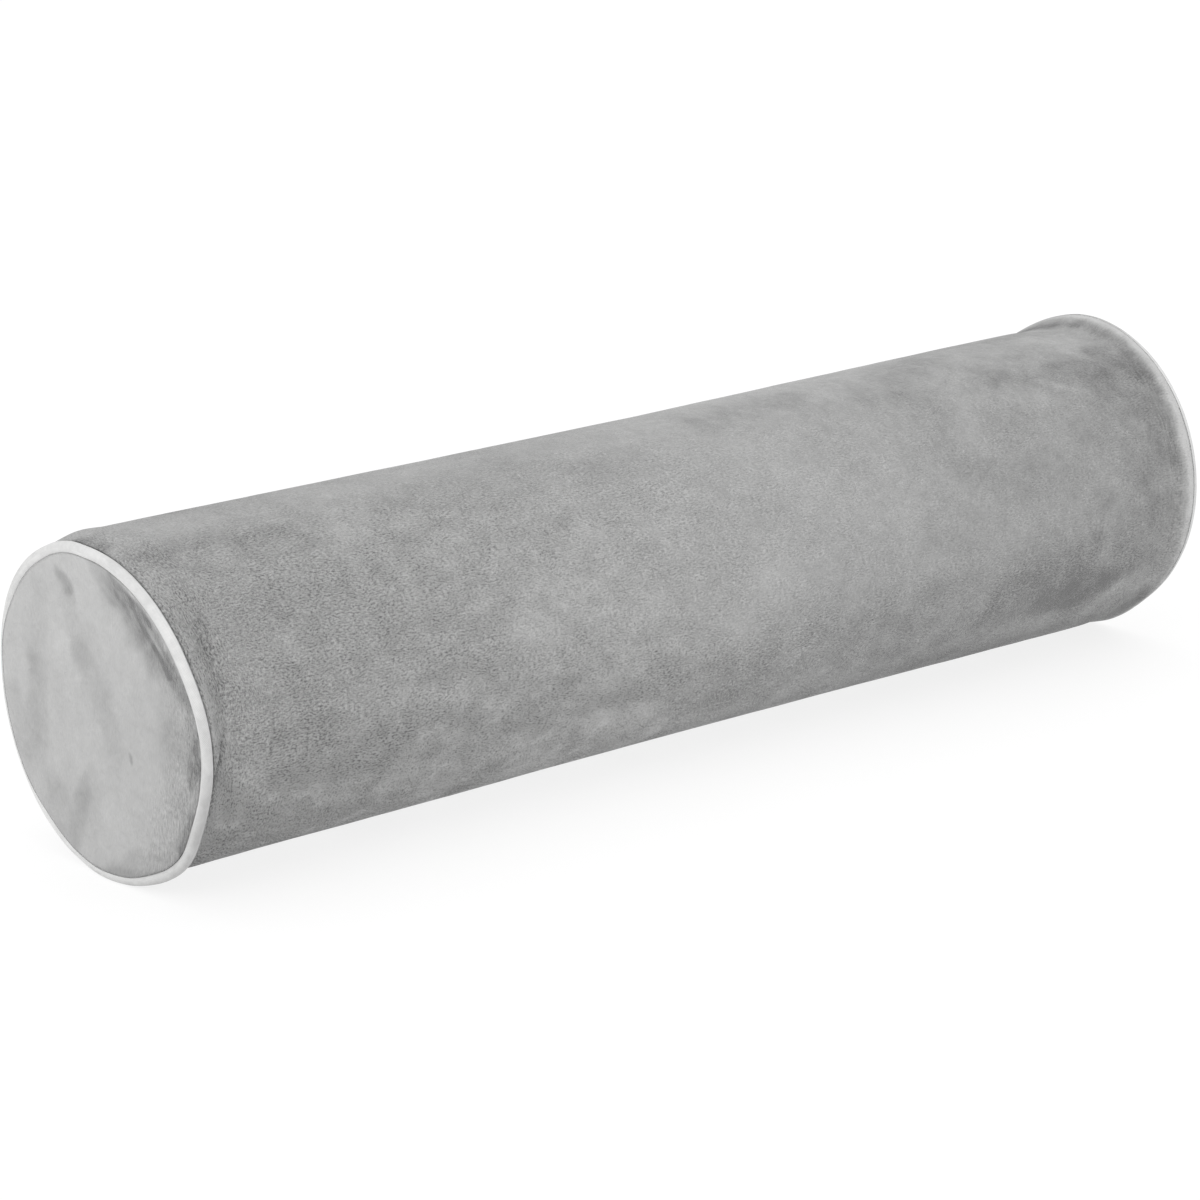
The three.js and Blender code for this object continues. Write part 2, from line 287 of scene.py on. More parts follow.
def tape_material():
    """Plain weave, greyer where shade is painted on its points."""
    material, tree, shader, cut = cloth_material(
        "piping_tape", {"Roughness": 0.82, "Sheen Weight": 0.12, "Sheen Roughness": 0.5}
    )
    threads = []
    for turn in TAPE_BIAS:
        bias = {"Vector": cut, "Angle": math.radians(turn)}
        turned = add(tree, "VectorRotate", bias, rotation_type="Z_AXIS")
        scaled = add(tree, "VectorMath", {"Vector": turned, "Scale": 1 / TAPE_THREAD}, operation="SCALE")
        across = tree.nodes.new("ShaderNodeSeparateXYZ")
        tree.links.new(scaled, across.inputs[0])
        wave = calculate(tree, "SINE", calculate(tree, "MULTIPLY", across.outputs[0], math.pi))
        threads.append(calculate(tree, "ABSOLUTE", wave))
    weave = calculate(tree, "MULTIPLY", *threads)
    slubs = add(tree, "TexNoise", {"Vector": cut, **TAPE_SLUBS})
    clouds = add(tree, "TexNoise", {"Vector": cut, **TAPE_CLOUDS})
    relief = calculate(tree, "MULTIPLY_ADD", slubs, TAPE_SLUB_RELIEF, weave)
    grey = calculate(tree, "MULTIPLY", slubs, TAPE_SLUB_SHARE)
    grey = calculate(tree, "MULTIPLY_ADD", weave, TAPE_WEAVE_SHARE, grey)
    grey = calculate(tree, "MULTIPLY_ADD", clouds, TAPE_CLOUD_SHARE, grey)
    # Painted shade makes the tape greyer.
    grey = calculate(tree, "SUBTRACT", grey, painted(tree, "greyed"))
    tree.links.new(between(tree, grey, TAPE_SHADE, TAPE_WHITE), shader.inputs["Base Color"])
    bump = tree.nodes.new("ShaderNodeBump")
    bump.inputs["Strength"].default_value = TAPE_BUMP
    bump.inputs["Distance"].default_value = TAPE_RELIEF
    tree.links.new(relief, bump.inputs["Height"])
    tree.links.new(bump.outputs["Normal"], shader.inputs["Normal"])
    return material


tape = tape_material()

# The wrap lies a little unevenly over the cord: it swells and slackens by CORD_UNEVEN. Shade is painted
# on the tape from the table below, where it faces away from the light or lies in the pile's shade. The
# table's value times a share sets how much greyer it is. It is less so on its side towards the panel,
# which catches the light, in a set direction about the cord. Below 0 it is a painted highlight.
CORD_UNEVEN = 0.07 * MM
CORD_SWELLS = 9 * MM
PAINTED_SHADE_MOST = 1.15
LIT_SIDE_SPARED = 0.75
LIT_SIDE_DIRECTION = -20
near["rubbed"] = [
    {"angle": 0, "greyed": 0.05},
    {"angle": 60, "greyed": 0},
    {"angle": 130, "greyed": 0.02},
    {"angle": 160, "greyed": 0.04},
    {"angle": 172, "greyed": 0.09},
    {"angle": 184, "greyed": 0.27},
    {"angle": 200, "greyed": 0.46},
    {"angle": 225, "greyed": 0.46},
    {"angle": 255, "greyed": 0.36},
    {"angle": 280, "greyed": 0.16},
    {"angle": 300, "greyed": 0},
    {"angle": 322, "greyed": -0.16},
]
far["rubbed"] = [
    {"angle": 0, "greyed": 0.05},
    {"angle": 60, "greyed": 0.38},
    {"angle": 90, "greyed": 0.32},
    {"angle": 105, "greyed": 0.2},
    {"angle": 125, "greyed": 0},
    {"angle": 165, "greyed": 0},
    {"angle": 185, "greyed": 0.08},
    {"angle": 205, "greyed": 0.26},
    {"angle": 240, "greyed": 0.3},
    {"angle": 300, "greyed": 0.1},
]


def piping(end):
    """The ring of piping at one end."""
    angles = 360 * np.arange(CORD_STEPS)[:, None] / CORD_STEPS
    sides = 2 * math.pi * np.arange(CORD_SIDES)[None, :] / CORD_SIDES
    middle, out = cord_line(end, angles)
    line = place(end, out, middle, angles)
    thick = CORD_RADIUS + CORD_UNEVEN * wandering(line, CORD_SWELLS, seed=1)
    points = place(end, out + thick * np.cos(sides), middle + thick * np.sin(sides), angles)
    along = 2 * math.pi * ROLL_RADIUS * np.arange(CORD_STEPS + 1) / CORD_STEPS
    about = 2 * math.pi * CORD_RADIUS * np.arange(CORD_SIDES + 1) / CORD_SIDES
    cut = np.stack(np.meshgrid(along, about, indexing="ij"), axis=-1)
    piece = cloth_mesh(f"{end['name']}_piping", points, cut)
    # Painted shade, less on the side of the cord that catches the light.
    lit_side = np.clip(np.cos(sides - math.radians(LIT_SIDE_DIRECTION)), 0, 1) ** 2
    rubbed = around(end["rubbed"], "greyed", angles, unit=1)
    paint(piece, {"greyed": rubbed * (PAINTED_SHADE_MOST - LIT_SIDE_SPARED * lit_side)})
    piece.data.materials.append(tape)
    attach(piece, "root")
    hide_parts(f"piping_{end['name']}")


piping(near)
piping(far)

# The sleeve: one rectangle of short-pile velour, sewn into a tube and drawn tightly over the foam
# roll. It is slimmer half way along, pressed flat where it rests, and dips behind the piping.
# Its closing seam runs the whole length, low at the back.
WAIST_DEPTH = 0.75 * MM
FLAT_ANGLE = 6
ROUND_ANGLE = 17
SMOOTH_ANGLE = 25
GROOVE_END = 215
GROOVE_STEPS = 9
SEAM_ANGLE = 300
SEAM_DEPTH = 1.0 * MM
SEAM_HALF_WIDTH = 1.5 * MM
SEAM_RIDGE = 0.3 * MM
SEAM_RIDGE_HALF_WIDTH = 4 * SEAM_HALF_WIDTH
SEAM_PUCKER = 7 * MM
SEAM_PUCKER_SHARE = 0.25
COLUMNS = 320
SHOULDER_ROWS = 28
TUBE_ROWS = 186
FACE_INSET = 4.5 * MM
FACE_ROWS = (1, 0.8, 0.5, 0.2)

# The sleeve rises or drops to its lip over the shoulder, along a curve of the power rise, and its
# lip meets the cord behind its outermost line. Low at the front of the near end it is tucked in
# behind the cord instead, which leaves a notch beside it.
near |= {"lip": 120, "cord_gap": 0.15 * MM, "shoulder": 15 * MM, "rise": 3, "drawn_in": 1.2}
far |= {"lip": 106, "cord_gap": 0.05 * MM, "shoulder": 20 * MM, "rise": 2, "drawn_in": 0.7}
TUCKED_DIRECTION = 168
TUCK_MIDDLE = 214
TUCK_HALF = 16
TUCK_FADE = 16
TUCK_STEEPNESS = 12
LIP_SMOOTHING = 8

# Slow unevenness of the sleeve, in millimetres.
SLEEVE_UNEVEN = [
    {"height": 0.22, "size": 60, "seed": 2},
    {"height": 0.13, "size": 22, "seed": 3},
    {"height": 0.05, "size": 7, "seed": 4},
]

# Creases and puckers of the sleeve. Each row has where it starts and ends, as millimetres along from
# the roll's middle and degrees round it, then its half width and its depth in millimetres. A depth
# below 0 is a raised fold.
SLEEVE_CREASES = [
    ((153, 120), (161, 125), 1.5, -0.3),
    ((161, 125), (170, 131), 1.5, -0.3),
    ((156, 128), (168, 136), 4.0, 0.3),
    ((186, 90), (196, 103), 5.0, 0.6),
    ((196, 103), (199, 130), 4.0, 0.5),
    ((199, 133), (197, 154), 1.8, 0.8),
    ((197, 154), (195, 179), 1.8, 0.7),
    ((195, 179), (195, 189), 1.8, 0.5),
    ((195, 189), (200, 205), 1.8, 0.5),
    ((193, 217), (196, 224), 2.2, 0.9),
    ((-198, 126), (-197, 150), 2.4, 0.5),
    ((-197, 150), (-195, 167), 2.2, 0.7),
    ((-195, 167), (-193, 180), 2.6, 0.5),
    ((-203, 128), (-203, 148), 2.0, -0.3),
    ((-202, 158), (-200, 178), 1.6, -0.4),
    ((-195.6, 176), (-197, 181), 0.8, 0.7),
    ((-197, 181), (-198.7, 187), 0.8, 1.1),
    ((-198.7, 187), (-201, 194), 0.9, 1.1),
    ((-188, 150), (-186, 178), 4.5, 0.3),
]


def eased(value, low, high):
    """0 below low, 1 above high, and smooth between."""
    part = np.clip((value - low) / (high - low), 0, 1)
    return part * part * (3 - 2 * part)


def on_the_cut(along, angles):
    """Places on the sleeve's flat cloth: along the roll, and round it from straight down."""
    about = ROLL_RADIUS * np.radians(np.mod(angles - DOWN, 360))
    return np.stack(np.broadcast_arrays(along, about), axis=-1)


def spot_on_cut(spot):
    """The place on the cloth of a pair of millimetres along and degrees round."""
    along, angle = spot
    return on_the_cut(along * MM, np.float64(angle))


def beside(places, start, finish):
    """The distance of each place from the straight line between two others."""
    run = np.array(finish) - start
    part = np.clip(((places - start) @ run) / (run @ run), 0, 1)
    return np.linalg.norm(places - start - part[..., None] * run, axis=-1)


def tube_radius(along, angles):
    """The plain sleeve's radius, along being the distance from the roll's middle."""
    waist = WAIST_DEPTH * np.cos(math.pi * along / FOAM_LENGTH) ** 2
    pressed_or_shaded = 1 - eased(np.abs(angles - DOWN), FLAT_ANGLE, ROUND_ANGLE)
    flat = np.where(pressed_or_shaded > 0, floor_distance(angles), ROLL_RADIUS)
    return ROLL_RADIUS - waist + pressed_or_shaded * (flat - ROLL_RADIUS + waist)


def sleeve_relief(along, angles):
    """How far the sleeve stands out from its plain shape: its creases, seam and unevenness."""
    places = on_the_cut(along, angles)
    relief = sum(
        bumps["height"] * MM * wandering(places, bumps["size"] * MM, bumps["seed"])
        for bumps in SLEEVE_UNEVEN
    )
    for start, finish, half_width, depth in SLEEVE_CREASES:
        away = beside(places, spot_on_cut(start), spot_on_cut(finish)) / (half_width * MM)
        relief -= depth * MM * np.exp(-(away**2))
    off_seam = ROLL_RADIUS * np.radians(angles - SEAM_ANGLE)
    puckers = np.cos(2 * math.pi * along / SEAM_PUCKER)
    tight = 1 - SEAM_PUCKER_SHARE + SEAM_PUCKER_SHARE * puckers
    relief -= SEAM_DEPTH * tight * np.exp(-((off_seam / SEAM_HALF_WIDTH) ** 2))
    relief += SEAM_RIDGE * np.exp(-((off_seam / SEAM_RIDGE_HALF_WIDTH) ** 2))
    pressed_or_shaded = 1 - eased(np.abs(angles - DOWN), FLAT_ANGLE, SMOOTH_ANGLE)
    return relief * (1 - pressed_or_shaded)


# A panel's edge hugs the cord's round side, in directions about the cord's middle: 0 is straight
# out and 90 is towards the axis. Low at the back the pile stands over the cord and hides it.
PANEL_THICKNESS = 1.8 * MM
PANEL_HUG = 1.76 * MM
HUG_TO = 126
HUG_STEPS = 8
HUG_FROM = [
    {"angle": 0, "direction": 8},
    {"angle": 14, "direction": 10},
    {"angle": 32, "direction": 50},
    {"angle": 60, "direction": 58},
    {"angle": 150, "direction": 58},
    {"angle": 215, "direction": 58},
    {"angle": 240, "direction": 48},
    {"angle": 256, "direction": 30},
    {"angle": 285, "direction": 26},
    {"angle": 306, "direction": 32},
    {"angle": 322, "direction": 12},
    {"angle": 340, "direction": 8},
]

# The panel's face stands FACE_STAND off the foam and is crowned. It bends up to a cord that stands
# further out, across a gutter, or is drawn back round the edge to one that lies further in.
FACE_STAND = 2.5 * MM
PANEL_CROWN = 0.9 * MM
GUTTER_WIDTH = 15 * MM
ROUND_WIDTH = 8 * MM
BEND_POWER = 1.5
FOLD_FADE_POWER = 3
FACE_GAP = 0.3 * MM

# Soft folds pressed into the panels. Each row has where it starts and ends, across Y and up Z from
# the panel's middle, then its half width and its depth. All are in millimetres.
near["folds"] = [
    ((18, 38), (14, 29), 2.6, 0.9),
    ((14, 29), (4, 8), 4.2, 0.7),
    ((4, 8), (-7, -7), 4.6, 0.5),
    ((30, 29), (31, 3), 3.4, 0.6),
    ((31, 3), (33, -18), 3.8, 0.7),
    ((9, -29), (15, -42), 2.8, 0.6),
    ((-4, 31), (-27, 22), 4.5, 1.1),
]
far["folds"] = [
    ((-22, 33), (-9, 10), 4.5, 0.8),
    ((26, -27), (14, -6), 4.5, 0.7),
]


def panel_edge(angles):
    """The panel's edge beside the cord, as rows of distances out and in from the cord's middle."""
    first = around(HUG_FROM, "direction", angles, unit=1)
    about = np.radians(first + (HUG_TO - first) * np.linspace(0, 1, HUG_STEPS))
    return PANEL_HUG * np.cos(about), PANEL_HUG * np.sin(about)


def panel_front(end, radius, angles):
    """How far out the front of an end panel is."""
    middle, out = cord_line(end, angles)
    hug_out, hug_in = panel_edge(np.reshape(angles, (-1, 1)))
    edge_out, edge_in = (side[:, 0].reshape(np.shape(angles)) for side in (hug_out, hug_in))
    rim = middle - edge_in
    face = FOAM_LENGTH / 2 + FACE_STAND + PANEL_CROWN * (1 - (radius / rim) ** 2)
    edge = out + edge_out
    width = np.where(edge > FOAM_LENGTH / 2 + FACE_STAND, GUTTER_WIDTH, ROUND_WIDTH)
    bend = np.clip((radius - rim + width) / width, 0, 1)
    y = radius * np.cos(np.radians(angles))
    z = radius * np.sin(np.radians(angles))
    spots = np.stack(np.broadcast_arrays(y, z), axis=-1)
    fold = 0
    for start, finish, half_width, depth in end["folds"]:
        away = beside(spots, np.array(start) * MM, np.array(finish) * MM) / (half_width * MM)
        fold = fold + depth * MM * np.exp(-(away**2))
    fold = fold * (1 - bend**FOLD_FADE_POWER)
    return (face - fold) + (edge - face + fold) * bend**BEND_POWER


def off_middle(angles, middle, half, fade):
    """1 within some degrees of a direction, and 0 past a further fade."""
    off = np.abs(np.mod(angles - middle + 180, 360) - 180)
    return 1 - eased(off, half, half + fade)


def sleeve_end(end, angles):
    """The sleeve's outline at one end, as rows of out and radius: shoulder, groove and face."""
    middle, out = cord_line(end, angles)
    valley = end["drawn_in"] * around(end["rim"], "valley", angles)
    groove = CORD_RADIUS + end["cord_gap"]
    tuck = 0 * angles
    if end is near:
        tuck = off_middle(angles, TUCK_MIDDLE, TUCK_HALF, TUCK_FADE)
    first = end["lip"] + tuck * (TUCKED_DIRECTION - end["lip"])
    about = np.radians(first + (GROOVE_END - first) * np.linspace(0, 1, GROOVE_STEPS))
    groove_out, groove_radius = out + groove * np.cos(about), middle + groove * np.sin(about)
    parts = np.linspace(0, 1, SHOULDER_ROWS, endpoint=False)[None, :]
    shoulder_out = out - end["shoulder"] * (1 - parts) + parts * (groove_out[:, :1] - out)
    plain = tube_radius(shoulder_out, angles)
    rise = parts ** (end["rise"] + TUCK_STEEPNESS * tuck)
    shoulder = plain + (groove_radius[:, :1] - plain) * rise - valley * np.sin(math.pi * parts) ** 2
    relief = sleeve_relief(end["side"] * shoulder_out, angles)
    shoulder += (1 - parts**LIP_SMOOTHING) * relief
    corner_out, corner_in = [side[:, -1:] for side in panel_edge(angles)]
    inner = (middle - FACE_INSET) * np.array(FACE_ROWS)[None, :]
    back = panel_front(end, inner, angles) - PANEL_THICKNESS - FACE_GAP
    outs = [shoulder_out, groove_out, out + corner_out - FACE_GAP, back]
    radii = [shoulder, groove_radius, middle - corner_in, inner]
    return np.hstack(outs), np.hstack(radii)


def sleeve():
    """The sleeve with the foam inside, as one filled piece."""
    angles = SEAM_ANGLE + 360 * np.arange(COLUMNS)[:, None] / COLUMNS
    angles = np.where(angles >= 360, angles - 360, angles)
    near_out, near_radius = sleeve_end(near, angles)
    far_out, far_radius = sleeve_end(far, angles)
    parts = (np.arange(1, TUBE_ROWS) / TUBE_ROWS)[None, :]
    start, finish = -near_out[:, :1], far_out[:, :1]
    along = start + (finish - start) * parts
    radius = tube_radius(along, angles) + sleeve_relief(along, angles)
    points = np.concatenate(
        [
            place(near, near_out, near_radius, angles)[:, ::-1],
            place(far, along, radius, angles),
            place(far, far_out, far_radius, angles),
        ],
        axis=1,
    )
    run = np.linalg.norm(np.diff(points, axis=1), axis=-1).mean(axis=0)
    length = np.concatenate([[0], np.cumsum(run)])
    girth = 2 * math.pi * ROLL_RADIUS * np.arange(COLUMNS + 1) / COLUMNS
    cut = np.stack(np.meshgrid(length, girth, indexing="xy"), axis=-1)
    ends = [
        place(end, panel_front(end, 0, np.zeros(1)) - PANEL_THICKNESS - FACE_GAP, 0, np.zeros(1))[0]
        for end in (near, far)
    ]
    return cloth_mesh("velour_sleeve", points, cut, ends)


# The velour: a knitted grey cloth with a dense pile about 1 mm high. The pile lies in small tufts, and
# the cloth looks lighter or darker where it has been stroked one way or the other. Painted shade and
# painted light are added to the same tone.
VELOUR_DARK = (0.15, 0.15, 0.15)
VELOUR_LIGHT = (0.545, 0.545, 0.542)
SWIRL_SIZE = 8 * MM
TUFT_RANGE = (0.3, 0.7)
PATCH_RANGE = (0.25, 0.75)
OTHER_LAY = 9.0


def node_group(name, inputs, output):
    """A shader node group with named inputs and one output, and the ends of both to link to."""
    group = bpy.data.node_groups.new(name, "ShaderNodeTree")
    for socket, (kind, value) in inputs.items():
        made = group.interface.new_socket(socket, in_out="INPUT", socket_type=f"NodeSocket{kind}")
        if value is not None:
            made.default_value = value
    group.interface.new_socket(output, in_out="OUTPUT", socket_type="NodeSocketFloat")
    given = group.nodes.new("NodeGroupInput").outputs
    return group, given, group.nodes.new("NodeGroupOutput").inputs[output]


def spread(tree, value, low, high):
    """A noise value from low to high as one from 0 to 1."""
    return add(tree, "MapRange", {"Value": value, "From Min": low, "From Max": high})


def pile_tufts_group():
    """The tufts of the pile: short ridges along the cloth, or across it, that lean in slow swirls."""
    group, given, result = node_group(
        "pile_tufts",
        {
            "Cut": ("Vector", None),
            "Tuft Width": ("Float", 0.6 * MM),
            "Tuft Length": ("Float", 1.6 * MM),
            "Swirl": ("Float", 6 * MM),
            "Lay Across": ("Float", 0.0),
        },
        "Height",
    )
    swirl = group.nodes.new("ShaderNodeTexNoise")
    swirl.inputs["Scale"].default_value = 1 / SWIRL_SIZE
    swirl.inputs["Detail"].default_value = 1
    group.links.new(given["Cut"], swirl.inputs["Vector"])
    middle = (0.5, 0.5, 0.5)
    lean = add(group, "VectorMath", {0: swirl.outputs["Color"], 1: middle}, operation="SUBTRACT")
    lean = add(group, "VectorMath", {"Vector": lean, "Scale": given["Swirl"]}, operation="SCALE")
    leaning = add(group, "VectorMath", {0: given["Cut"], 1: lean}, operation="ADD")
    split = group.nodes.new("ShaderNodeSeparateXYZ")
    group.links.new(leaning, split.inputs[0])
    lays = []
    for long, short in ((0, 1), (1, 0)):
        stretched = {
            long: calculate(group, "DIVIDE", split.outputs[long], given["Tuft Length"]),
            short: calculate(group, "DIVIDE", split.outputs[short], given["Tuft Width"]),
            2: OTHER_LAY * long,
        }
        spot = add(group, "CombineXYZ", stretched)
        lays.append(
            add(group, "TexNoise", {"Vector": spot, "Scale": 1, "Detail": 3, "Roughness": 0.7})
        )
    mixed = add(group, "Mix", {"Factor": given["Lay Across"], "A": lays[0], "B": lays[1]})
    group.links.new(spread(group, mixed, *TUFT_RANGE), result)
    return group


def stroked_nap_group():
    """Patches where the pile was stroked up or down, from 0 for dark to 1 for light."""
    group, given, result = node_group(
        "stroked_nap",
        {
            "Cut": ("Vector", None),
            "Patch Size": ("Float", 12 * MM),
            "Softness": ("Float", 0.5),
        },
        "Tone",
    )
    scale = calculate(group, "DIVIDE", 1.0, given["Patch Size"])
    roughness = calculate(group, "SUBTRACT", 1.0, given["Softness"])
    inputs = {"Vector": given["Cut"], "Scale": scale, "Roughness": roughness}
    patches = add(group, "TexNoise", {**inputs, "Detail": 4, "Distortion": 0.6})
    group.links.new(spread(group, patches, *PATCH_RANGE), result)
    return group


pile_tufts = pile_tufts_group()
stroked_nap = stroked_nap_group()


def about_zero(tree, value):
    """A value from 0 to 1 as one from -0.5 to 0.5."""
    return calculate(tree, "SUBTRACT", value, 0.5)


# What adds to the pile's tone, besides its painted nap with its painted shade and light: patches of
# three sizes in millimetres, the tufts, which are deeper where the pile is clumped, and the streaks of
# gathered cloth beside a seam. The tufts, the streaks and the smallest patches also make the relief.
NAP_PATCHES = [
    {"size": 34, "softness": 0.45, "weight": 0.22},
    {"size": 9, "softness": 0.4, "weight": 0.23},
    {"size": 3, "softness": 0.4, "weight": 0.18},
]
TUFT_SWIRL = 2.5 * MM
TUFT_WEIGHT = 1.25
CLUMPED_MOST = 1.1
CLUMPED_LEAST = 0.45
STREAK = {"Tuft Width": 0.7 * MM, "Tuft Length": 7 * MM, "Swirl": 1 * MM, "Lay Across": 1.0}
STREAK_WEIGHT = 0.75
STREAK_HEIGHT = 1.6
PATCH_HEIGHT = 0.5
PILE_RELIEF = 0.5 * MM


def velour_material(name, tuft_width, tuft_length, mottled):
    """Velour whose nap with painted shade and light, lay, grain and gathers were painted on the piece's
    points.
    """
    material, tree, shader, cut = cloth_material(
        name,
        {
            "Roughness": 0.95,
            "Sheen Weight": 0.3,
            "Sheen Roughness": 0.45,
            "Specular IOR Level": 0.15,
        },
    )
    nap_and_shade, lay, grain, gather = [painted(tree, part) for part in ("nap_and_shade", "lay", "grain", "gather")]
    tuft = {"Tuft Width": tuft_width, "Tuft Length": tuft_length, "Swirl": TUFT_SWIRL}
    tufts = add(tree, "Group", {"Cut": cut, **tuft, "Lay Across": lay}, node_tree=pile_tufts)
    streaks = add(tree, "Group", {"Cut": cut, **STREAK}, node_tree=pile_tufts)
    patches = []
    for patch in NAP_PATCHES:
        inputs = {"Cut": cut, "Patch Size": patch["size"] * MM, "Softness": patch["softness"]}
        patches.append(add(tree, "Group", inputs, node_tree=stroked_nap))
    middling, small = patches[1:]
    clumped = calculate(tree, "MULTIPLY_ADD", middling, CLUMPED_MOST, CLUMPED_LEAST)
    clumped_grain = calculate(tree, "MULTIPLY", grain, clumped)
    tuft_depth = calculate(tree, "MULTIPLY", about_zero(tree, tufts), clumped_grain)
    streak_depth = calculate(tree, "MULTIPLY", about_zero(tree, streaks), gather)
    # The painted tone holds the nap together with painted shade and light.
    tone = calculate(tree, "ADD", nap_and_shade, 0.5)
    for patch, made in zip(NAP_PATCHES, patches):
        weight = mottled * patch["weight"]
        tone = calculate(tree, "MULTIPLY_ADD", about_zero(tree, made), weight, tone)
    tone = calculate(tree, "MULTIPLY_ADD", tuft_depth, TUFT_WEIGHT, tone)
    tone = calculate(tree, "MULTIPLY_ADD", streak_depth, STREAK_WEIGHT, tone)
    colour = between(tree, tone, VELOUR_DARK, VELOUR_LIGHT)
    tree.links.new(colour, shader.inputs["Base Color"])
    height = calculate(tree, "MULTIPLY_ADD", streak_depth, STREAK_HEIGHT, tuft_depth)
    height = calculate(tree, "MULTIPLY_ADD", small, PATCH_HEIGHT, height)
    bump = tree.nodes.new("ShaderNodeBump")
    bump.inputs["Distance"].default_value = PILE_RELIEF
    tree.links.new(height, bump.inputs["Height"])
    tree.links.new(bump.outputs["Normal"], shader.inputs["Normal"])
    return material


def positions(piece):
    """The places of a piece's points, one in each row."""
    found = np.zeros(len(piece.data.vertices) * 3, np.float32)
    piece.data.vertices.foreach_get("co", found)
    return found.reshape(-1, 3).astype(float)


def ragged(places, reach, size, seed):
    """Places moved about by noise, so that what is painted by them has a ragged edge."""
    shifts = [wandering(places, size, seed + number) for number in (0, 1)]
    return places + reach * np.stack(shifts, axis=-1)
